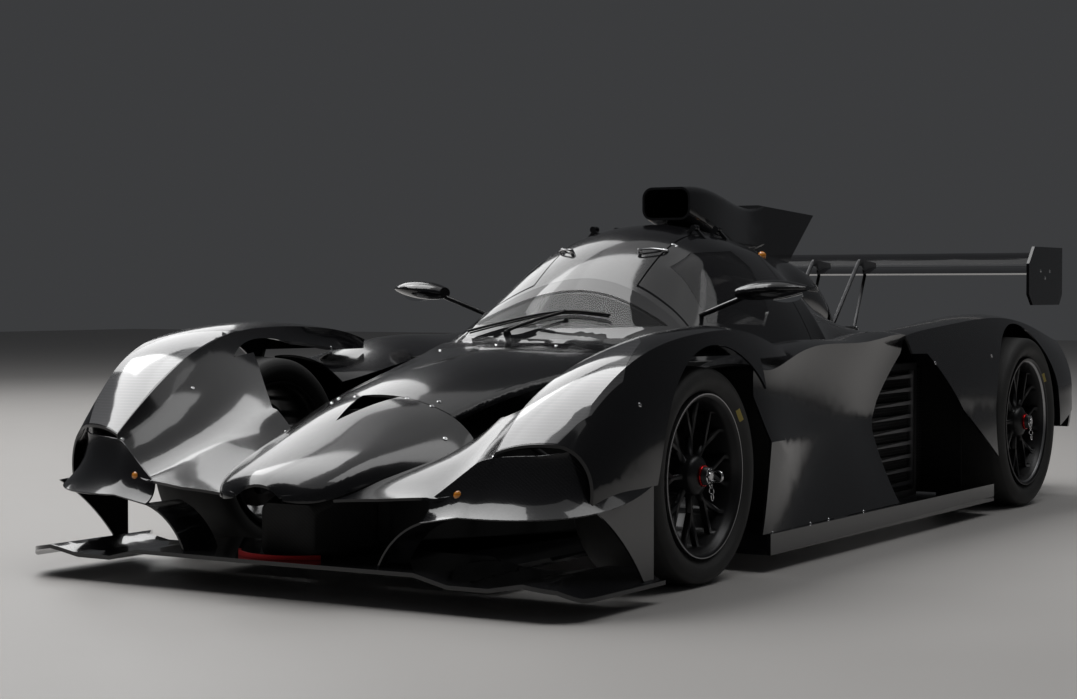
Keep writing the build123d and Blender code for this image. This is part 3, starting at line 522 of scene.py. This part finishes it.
def turned(work, profile, centre, axis, steps):
    """Spins a line of (along, out) places about an axis through a centre."""
    axis, centre = Vector(axis).normalized(), Vector(centre)
    out = Vector((0, 0, 1)) if abs(axis.z) < 0.9 else Vector((1, 0, 0))
    out = (out - axis * out.dot(axis)).normalized()
    verts = [work.verts.new(centre + axis * along + out * reach) for along, reach in profile]
    edges = [work.edges.new(pair) for pair in zip(verts, verts[1:])]
    bmesh.ops.spin(work, geom=verts + edges, cent=centre, axis=axis, angle=math.tau, steps=steps, use_merge=True)


def rod(work, points, radius, closed=False):
    """Adds a round bar that follows a smooth line of places."""
    line = bpy.data.curves.new("bar_line", "CURVE")
    line.dimensions = "3D"
    line.bevel_depth, line.bevel_resolution, line.use_fill_caps = radius, 2, not closed
    line.resolution_u = 6
    run = line.splines.new("NURBS")
    run.points.add(len(points) - 1)
    for knot, place in zip(run.points, points):
        knot.co = (*place, 1)
    run.use_cyclic_u = closed
    run.use_endpoint_u = not closed
    run.order_u = 3
    carrier = bpy.data.objects.new("bar_line", line)
    work.from_mesh(bpy.data.meshes.new_from_object(carrier))
    bpy.data.objects.remove(carrier)


def soften(work, width):
    """Rounds every edge a little."""
    bmesh.ops.bevel(work, geom=list(work.edges), offset=width, segments=2, profile=0.5, affect="EDGES", material=-1)


def fitting(work, name, body, material):
    """Closes a fine piece, turns its faces outwards and sets it on its body."""
    bmesh.ops.remove_doubles(work, verts=work.verts, dist=fine_weld)
    bmesh.ops.recalc_face_normals(work, faces=work.faces)
    return finish_piece(work, name, body, material, fitting_crease)


def surface_of(node):
    work = joined(node)
    tree = BVHTree.FromBMesh(work)
    work.free()
    return tree


def sunk_screw(radius, height):
    """Profile of a domed screw with a socket in its head."""
    return (
        (-0.0008, 0.0), (-0.0008, radius), (height * 0.4, radius), (height, radius * 0.72),
        (height, radius * 0.4), (height * 0.3, radius * 0.36), (height * 0.3, 0.0),
    )


def screws(name, node, places, radius, height, sides=(1,)):
    """Sets screws on the nearest surface of a node, square to it."""
    tree = surface_of(node)
    work = bmesh.new()
    for x, y, z in places:
        for side in sides:
            seat, normal, _, _ = tree.find_nearest(Vector((x * side, y, z)))
            turned(work, sunk_screw(radius, height), seat, normal, 12)
    return fitting(work, name, body_for(node), metal)


def between(first, last, count):
    """Evenly spaced places from one to another, both ends in."""
    first, last = Vector(first), Vector(last)
    return [tuple(first.lerp(last, i / (count - 1))) for i in range(count)]


# ---------------------------------------------------------------- hubs
handle_tip = 0.9975  # the farthest out that a handle may reach, inside the car's width
handle_half = 0.017
handle_wire = 0.0038
boss_profile = ((0.0, 0.0), (0.0, 0.011), (0.003, 0.013), (0.006, 0.011), (0.006, 0.0))
link_half_length = 0.012
link_half_width = 0.0075
link_pitch = 1.6 * link_half_length
link_points = 10
chain_wire = 0.0019
lock_ring_profile = (
    (-0.02, 0.0265), (-0.02, 0.031), (-0.018, 0.0325), (-0.012, 0.0325), (-0.010, 0.031), (-0.010, 0.0265),
    (-0.02, 0.0265),
)
peg_count = 6
peg_circle = 0.046
peg_depth = 0.049
peg_profile = ((-0.004, 0.0), (-0.004, 0.007), (0.006, 0.007), (0.008, 0.005), (0.008, 0.0))


def hub_of(corner):
    """A rim's side (1 left, -1 right), how far out its face is, and its centre's y and z."""
    low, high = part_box("rim_" + corner)
    side = 1 if high[0] > 0 else -1
    return side, max(abs(low[0]), abs(high[0])), (low[1] + high[1]) / 2, (low[2] + high[2]) / 2


def lock_handle(corner):
    """A pulled wire loop on a small boss."""
    side, face, y, z = hub_of(corner)
    tip = handle_tip - handle_wire
    work = bmesh.new()
    # half of the loop as (distance out, share of handle_half)
    half = ((face - 0.012, 0.7), (face + 0.004, 1.0), (tip, 0.8))
    loop = [(x, -handle_half * share) for x, share in half]
    loop += [(x, handle_half * share) for x, share in reversed(half)]
    rod(work, [(side * x, y, z + up) for x, up in loop], handle_wire)
    turned(work, boss_profile, (side * (face - 0.001), y, z), (side, 0, 0), 24)
    fitting(work, "lock_handle_" + corner, "wheel_" + corner, metal)


def safety_chain(corner):
    """Three links that hang beside the nut, each turned a quarter from the last."""
    side, face, y, z = hub_of(corner)
    hang = Vector((0, 0.25, -1)).normalized()
    work = bmesh.new()
    for i in range(3):
        drop = i * link_pitch
        centre = Vector((side * (face - 0.004), y + 0.012 + drop * 0.3, z - 0.026 - drop))
        wide = Vector((side, 0, 0)) if i % 2 else Vector((0, 1, 0))
        turns = (k * math.tau / link_points for k in range(link_points))
        link = [centre + wide * (link_half_width * math.cos(turn)) + hang * (link_half_length * math.sin(turn))
                for turn in turns]
        rod(work, link, chain_wire, closed=True)
    fitting(work, "safety_chain_" + corner, "wheel_" + corner, metal)


def lock_ring(corner):
    side, face, y, z = hub_of(corner)
    work = bmesh.new()
    turned(work, lock_ring_profile, (side * (face - 0.006), y, z), (side, 0, 0), 32)
    fitting(work, "lock_ring_" + corner, "wheel_" + corner, red_alloy)


def drive_pegs(corner):
    side, face, y, z = hub_of(corner)
    work = bmesh.new()
    for i in range(peg_count):
        turn = math.tau * (i + 0.5) / peg_count
        spot = (side * (face - peg_depth), y + peg_circle * math.cos(turn), z + peg_circle * math.sin(turn))
        turned(work, peg_profile, spot, (side, 0, 0), 12)
    fitting(work, "drive_pegs_" + corner, "wheel_" + corner, metal)


for corner in ("front_left", "front_right", "rear_left", "rear_right"):
    lock_handle(corner)
    safety_chain(corner)
    lock_ring(corner)
    drive_pegs(corner)


# ---------------------------------------------------------------- depth behind the side inlets
core_x = 0.66
core_thick = 0.03
core_front_y, core_rear_y = 0.30, 1.0
core_bottom_z, core_top_z = 0.09, 0.57
wall_y = 1.0
wall_thick = 0.005
# the left wall's outline as (x, z), from the floor up to the fender's skin
wall_outline = (
    (0.47, 0.074), (0.84, 0.074), (0.84, 0.766), (0.8, 0.767), (0.7, 0.748), (0.6, 0.713), (0.5, 0.674),
    (0.47, 0.662),
)


def radiator_core(side, label):
    """A finned block with a raised frame, behind a side inlet."""
    core = bmesh.new()
    made = bmesh.ops.create_cube(core, size=1.0)["verts"]
    bmesh.ops.scale(core, vec=(core_thick, core_rear_y - core_front_y, core_top_z - core_bottom_z), verts=made)
    middle = (side * core_x, (core_front_y + core_rear_y) / 2, (core_bottom_z + core_top_z) / 2)
    bmesh.ops.translate(core, vec=middle, verts=made)
    wide_faces = [face for face in core.faces if abs(face.normal.x) > 0.9]
    bmesh.ops.inset_individual(core, faces=wide_faces, thickness=0.022, depth=-0.006)
    soften(core, 0.0015)
    fitting(core, "radiator_core_" + label, "chassis", fins)


def wheel_house_wall(side, label):
    """The plain front wall of a rear wheel house."""
    wall = bmesh.new()
    front = wall.faces.new([wall.verts.new((side * x, wall_y, z)) for x, z in wall_outline])
    grown = bmesh.ops.extrude_face_region(wall, geom=[front])["geom"]
    rear_verts = [v for v in grown if isinstance(v, bmesh.types.BMVert)]
    bmesh.ops.translate(wall, vec=(0, wall_thick, 0), verts=rear_verts)
    bmesh.ops.recalc_face_normals(wall, faces=wall.faces)
    front_faces = [face for face in wall.faces if face.normal.y < -0.9]
    bmesh.ops.inset_region(wall, faces=front_faces, thickness=0.03, depth=-0.003)
    soften(wall, 0.001)
    fitting(wall, "wheel_house_wall_" + label, "chassis", matt)


for side, label in both_sides:
    radiator_core(side, label)
for side, label in both_sides:
    wheel_house_wall(side, label)


# ---------------------------------------------------------------- wiper and latches
wiper_pivot = (-0.16, -0.768, 0.722)
wiper_lean = (0, -0.25, 1)
wiper_boss = ((-0.010, 0.0), (-0.010, 0.014), (0.010, 0.013), (0.016, 0.009), (0.016, 0.0))
wiper_arm = ((-0.16, -0.770, 0.736), (-0.12, -0.768, 0.752), (-0.04, -0.726, 0.783), (0.03, -0.695, 0.803))
wiper_joint = ((0.024, -0.694, 0.796), (0.024, -0.696, 0.806), (0.03, -0.692, 0.806))
wiper_spine = (
    (-0.341, -0.743, 0.733), (-0.17, -0.722, 0.775), (-0.005, -0.684, 0.806), (0.1, -0.68, 0.804),
    (0.202, -0.682, 0.793),
)
wiper_lip = (
    (-0.335, -0.740, 0.726), (-0.17, -0.718, 0.768), (-0.005, -0.680, 0.799), (0.1, -0.676, 0.797),
    (0.196, -0.679, 0.786),
)
# places under a latch's bar, from the middle outwards
latch_line = ((0.14, -0.357, 1.012), (0.175, -0.334, 1.016), (0.21, -0.306, 1.019), (0.245, -0.272, 1.02),
              (0.275, -0.236, 1.022))
latch_height = 0.014
latch_half_width = 0.009
latch_overhang = 0.008
latch_wire = 0.0035
latch_foot = ((-0.001, 0.0), (-0.001, 0.009), (0.011, 0.0075), (0.015, 0.005), (0.015, 0.0))


def windscreen_wiper():
    """A single wiper: pivot, arm, joint, and a blade of spine and lip."""
    work = bmesh.new()
    turned(work, wiper_boss, wiper_pivot, wiper_lean, 20)
    for points, radius in ((wiper_arm, 0.0055), (wiper_joint, 0.007), (wiper_spine, 0.0045), (wiper_lip, 0.003)):
        rod(work, points, radius)
    fitting(work, "windscreen_wiper", "chassis", satin)


def screen_latch(side, label):
    """A polished wire loop on three feet, over the head of the windscreen."""
    work = bmesh.new()
    head = surface_of("canopy_frame")
    upper = []
    for x, y, z in latch_line:
        seat, normal, _, _ = head.find_nearest(Vector((side * x, y, z)))
        upper.append(seat + normal * latch_height)
    along = (upper[-1] - upper[0]).normalized()
    across = Vector((0, 0, 1)).cross(along).normalized() * latch_half_width
    loop = [place + across for place in upper] + [upper[-1] + along * latch_overhang]
    loop += [place - across for place in reversed(upper)] + [upper[0] - along * latch_overhang]
    rod(work, loop, latch_wire, closed=True)
    for place in (upper[0], upper[2], upper[-1]):
        seat, normal, _, _ = head.find_nearest(place)
        turned(work, latch_foot, seat, normal, 16)
    fitting(work, "screen_latch_" + label, "chassis", metal)


windscreen_wiper()
for side, label in both_sides:
    screen_latch(side, label)


# ---------------------------------------------------------------- marker lamps, screws and rod ends
# places on the left, as (x, y, z); each is set on the nearest surface
scoop_marker = (0.283, 0.24, 1.04)
nose_marker = (0.60, -2.21, 0.30)
hood_screws = ((0.189, -1.70, 0.537), (0.285, -1.79, 0.46), (0.12, -0.90, 0.70), (0.34, -0.92, 0.68))
nose_screws = ((0.19, -1.73, 0.53), (0.30, -1.83, 0.44), (0.10, -1.74, 0.56))
lamp_screws = ((0.66, -2.16, 0.43), (0.93, -2.05, 0.45), (0.97, -1.86, 0.56), (0.97, -1.05, 0.60),
               (0.60, -1.02, 0.72), (0.62, -1.86, 0.60))
sill_screws = between((0.98, -1.0, 0.115), (0.98, 0.95, 0.115), 14)
side_screws = ((0.96, 0.35, 0.52), (0.96, 0.80, 0.40), (0.96, 1.0, 0.62), (0.80, 0.32, 0.60),
               (0.84, 1.75, 0.70), (0.90, 1.8, 0.5))
wing_screws = ((0.9985, 1.80, 0.96), (0.9985, 1.86, 0.93), (0.9985, 1.92, 0.96))
rod_x = 0.11
rod_foot_ys = (1.386, 1.634)
rod_foot_z = 0.712
rod_half_eye = 0.010
rod_nut = ((0.0, 0.0), (0.0, 0.008), (0.004, 0.011), (0.008, 0.008), (0.010, 0.005), (0.010, 0.0))


def mirrored(places, side):
    return [(side * x, y, z) for x, y, z in places]


def lamp_pod(name, node, place, radius, height):
    """A small domed amber lamp, square to the surface."""
    seat, normal, _, _ = surface_of(node).find_nearest(Vector(place))
    work = bmesh.new()
    dome = ((-0.002, 0.0), (-0.002, radius), (height * 0.35, radius), (height * 0.8, radius * 0.75),
            (height, radius * 0.35), (height, 0.0))
    turned(work, dome, seat, normal, 20)
    return fitting(work, name, body_for(node), amber)


def wing_rod_joints():
    """A nut on each side of the eyes at the feet of the wing's rods."""
    work = bmesh.new()
    for x in (rod_x, -rod_x):
        for y in rod_foot_ys:
            for side in (1, -1):
                turned(work, rod_nut, (x + side * rod_half_eye, y, rod_foot_z), (side, 0, 0), 14)
    fitting(work, "wing_rod_joints", "chassis", metal)


for side, label in both_sides:
    lamp_pod("marker_lamp_" + label, "engine_cover", *mirrored([scoop_marker], side), 0.017, 0.022)
for side, label in both_sides:
    lamp_pod("nose_marker_" + label, "fender_front_" + label, *mirrored([nose_marker], side), 0.014, 0.01)
screws("hood_screws", "hood", hood_screws, 0.0075, 0.003, sides=(1, -1))
screws("nose_screws", "nose_cone", nose_screws, 0.0075, 0.003, sides=(1, -1))
for side, label in both_sides:
    screws("lamp_screws_" + label, "fender_front_" + label, mirrored(lamp_screws, side), 0.0065, 0.003)
    screws("sill_screws_" + label, "sidepod_" + label, mirrored(sill_screws, side), 0.006, 0.0025)
    screws("side_screws_" + label, "fender_rear_" + label, mirrored(side_screws, side), 0.0065, 0.003)
screws("wing_screws", "rear_wing", wing_screws, 0.007, 0.0012, sides=(1, -1))
wing_rod_joints()


# ---------------------------------------------------------------- mirror glasses
glass_half_height = 0.024
glass_stretch = 2.6
glass_inboard = 0.085
glass_rise = 0.012
glass_profile = ((-0.001, 0.0), (-0.001, 1.0), (0.0012, 1.0), (0.0018, 0.96), (0.0010, 0.92), (0.0010, 0.0))


def mirror_glass(side, label):
    """An oval glass with a raised lip, in the rear face of a mirror shell."""
    low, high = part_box("mirror_" + label)
    outer = side * (max(abs(low[0]), abs(high[0])) - glass_inboard)
    behind = Vector((outer, high[1] + 0.05, (low[2] + high[2]) / 2 + glass_rise))
    seat, _, _, _ = surface_of("mirror_" + label).find_nearest(behind)
    work = bmesh.new()
    turned(work, [(along, out * glass_half_height) for along, out in glass_profile], (0, 0, 0), (0, 1, 0), 36)
    bmesh.ops.scale(work, vec=(glass_stretch, 1, 1), verts=work.verts)
    bmesh.ops.translate(work, vec=seat, verts=work.verts)
    fitting(work, "mirror_glass_" + label, "door_" + label, looking_glass)


for side, label in both_sides:
    mirror_glass(side, label)


# ---------------------------------------------------------------- floor, light and camera
floor_half = 30.0
room_color = (0.2, 0.205, 0.215)
room_strength = 0.22
bank_distance = 12.0
bank_target = Vector((0, 0, 0.4))
# heading from dead ahead, height above level, width and length in degrees, and radiance
light_banks = {
    "far_side_bank": (-82, 60, 44, 38, 3.6),
    "far_rear_bank": (-118, 37, 30, 30, 1.9),
    "near_top_bank": (100, 68, 26, 22, 2.2),
    "near_rear_bank": (132, 50, 26, 16, 0.7),
    "ceiling_bank": (180, 86, 60, 60, 0.45),
}
camera_place = (3.8026, -6.9963, 0.8740)
camera_heading = 0.5519
camera_pitch = 0.0275
camera_lens = 70.9
sensor_width = 36


def floor():
    work = bmesh.new()
    bmesh.ops.create_grid(work, x_segments=1, y_segments=1, size=floor_half)
    mesh = bpy.data.meshes.new("studio_floor")
    work.to_mesh(mesh)
    work.free()
    plane = bpy.data.objects.new("studio_floor", mesh)
    bpy.context.scene.collection.objects.link(plane)
    f = Finish("floor_paint", (0.5, 0.485, 0.47), Roughness=0.5)
    mesh.materials.append(f.worn(2.0, 0.1, 0.42).material)
    plane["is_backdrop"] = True


def surroundings():
    """A soft grey room, the same for the camera and for every reflection."""
    world = bpy.data.worlds.new("studio")
    bpy.context.scene.world = world
    world.use_nodes = True
    back = world.node_tree.nodes["Background"]
    back.inputs["Color"].default_value = (*room_color, 1)
    back.inputs["Strength"].default_value = room_strength


def soft_bank(name, heading, height, wide, long, radiance):
    """A soft rectangular light far off, aimed at the car."""
    heading, height = math.radians(heading), math.radians(height)
    away = Vector((
        math.sin(heading) * math.cos(height), -math.cos(heading) * math.cos(height), math.sin(height)))
    lamp = bpy.data.lights.new(name, "AREA")
    lamp.shape = "RECTANGLE"
    lamp.size, lamp.size_y = (2 * bank_distance * math.tan(math.radians(angle) / 2) for angle in (wide, long))
    lamp.energy = math.pi * radiance * lamp.size * lamp.size_y
    holder = bpy.data.objects.new(name, lamp)
    holder.location = away * bank_distance
    holder.rotation_euler = (bank_target - holder.location).to_track_quat("-Z", "Y").to_euler()
    bpy.context.scene.collection.objects.link(holder)


def main_camera():
    camera = bpy.data.cameras.new("camera")
    camera.lens = camera_lens
    camera.sensor_width = sensor_width
    holder = bpy.data.objects.new("camera", camera)
    holder.location = camera_place
    holder.rotation_euler = (math.pi / 2 - camera_pitch, 0, camera_heading)
    bpy.context.scene.collection.objects.link(holder)
    bpy.context.scene.camera = holder


floor()
surroundings()
for name, row in light_banks.items():
    soft_bank(name, *row)
main_camera()
bpy.context.scene.view_settings.view_transform = "Standard"

low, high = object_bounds()
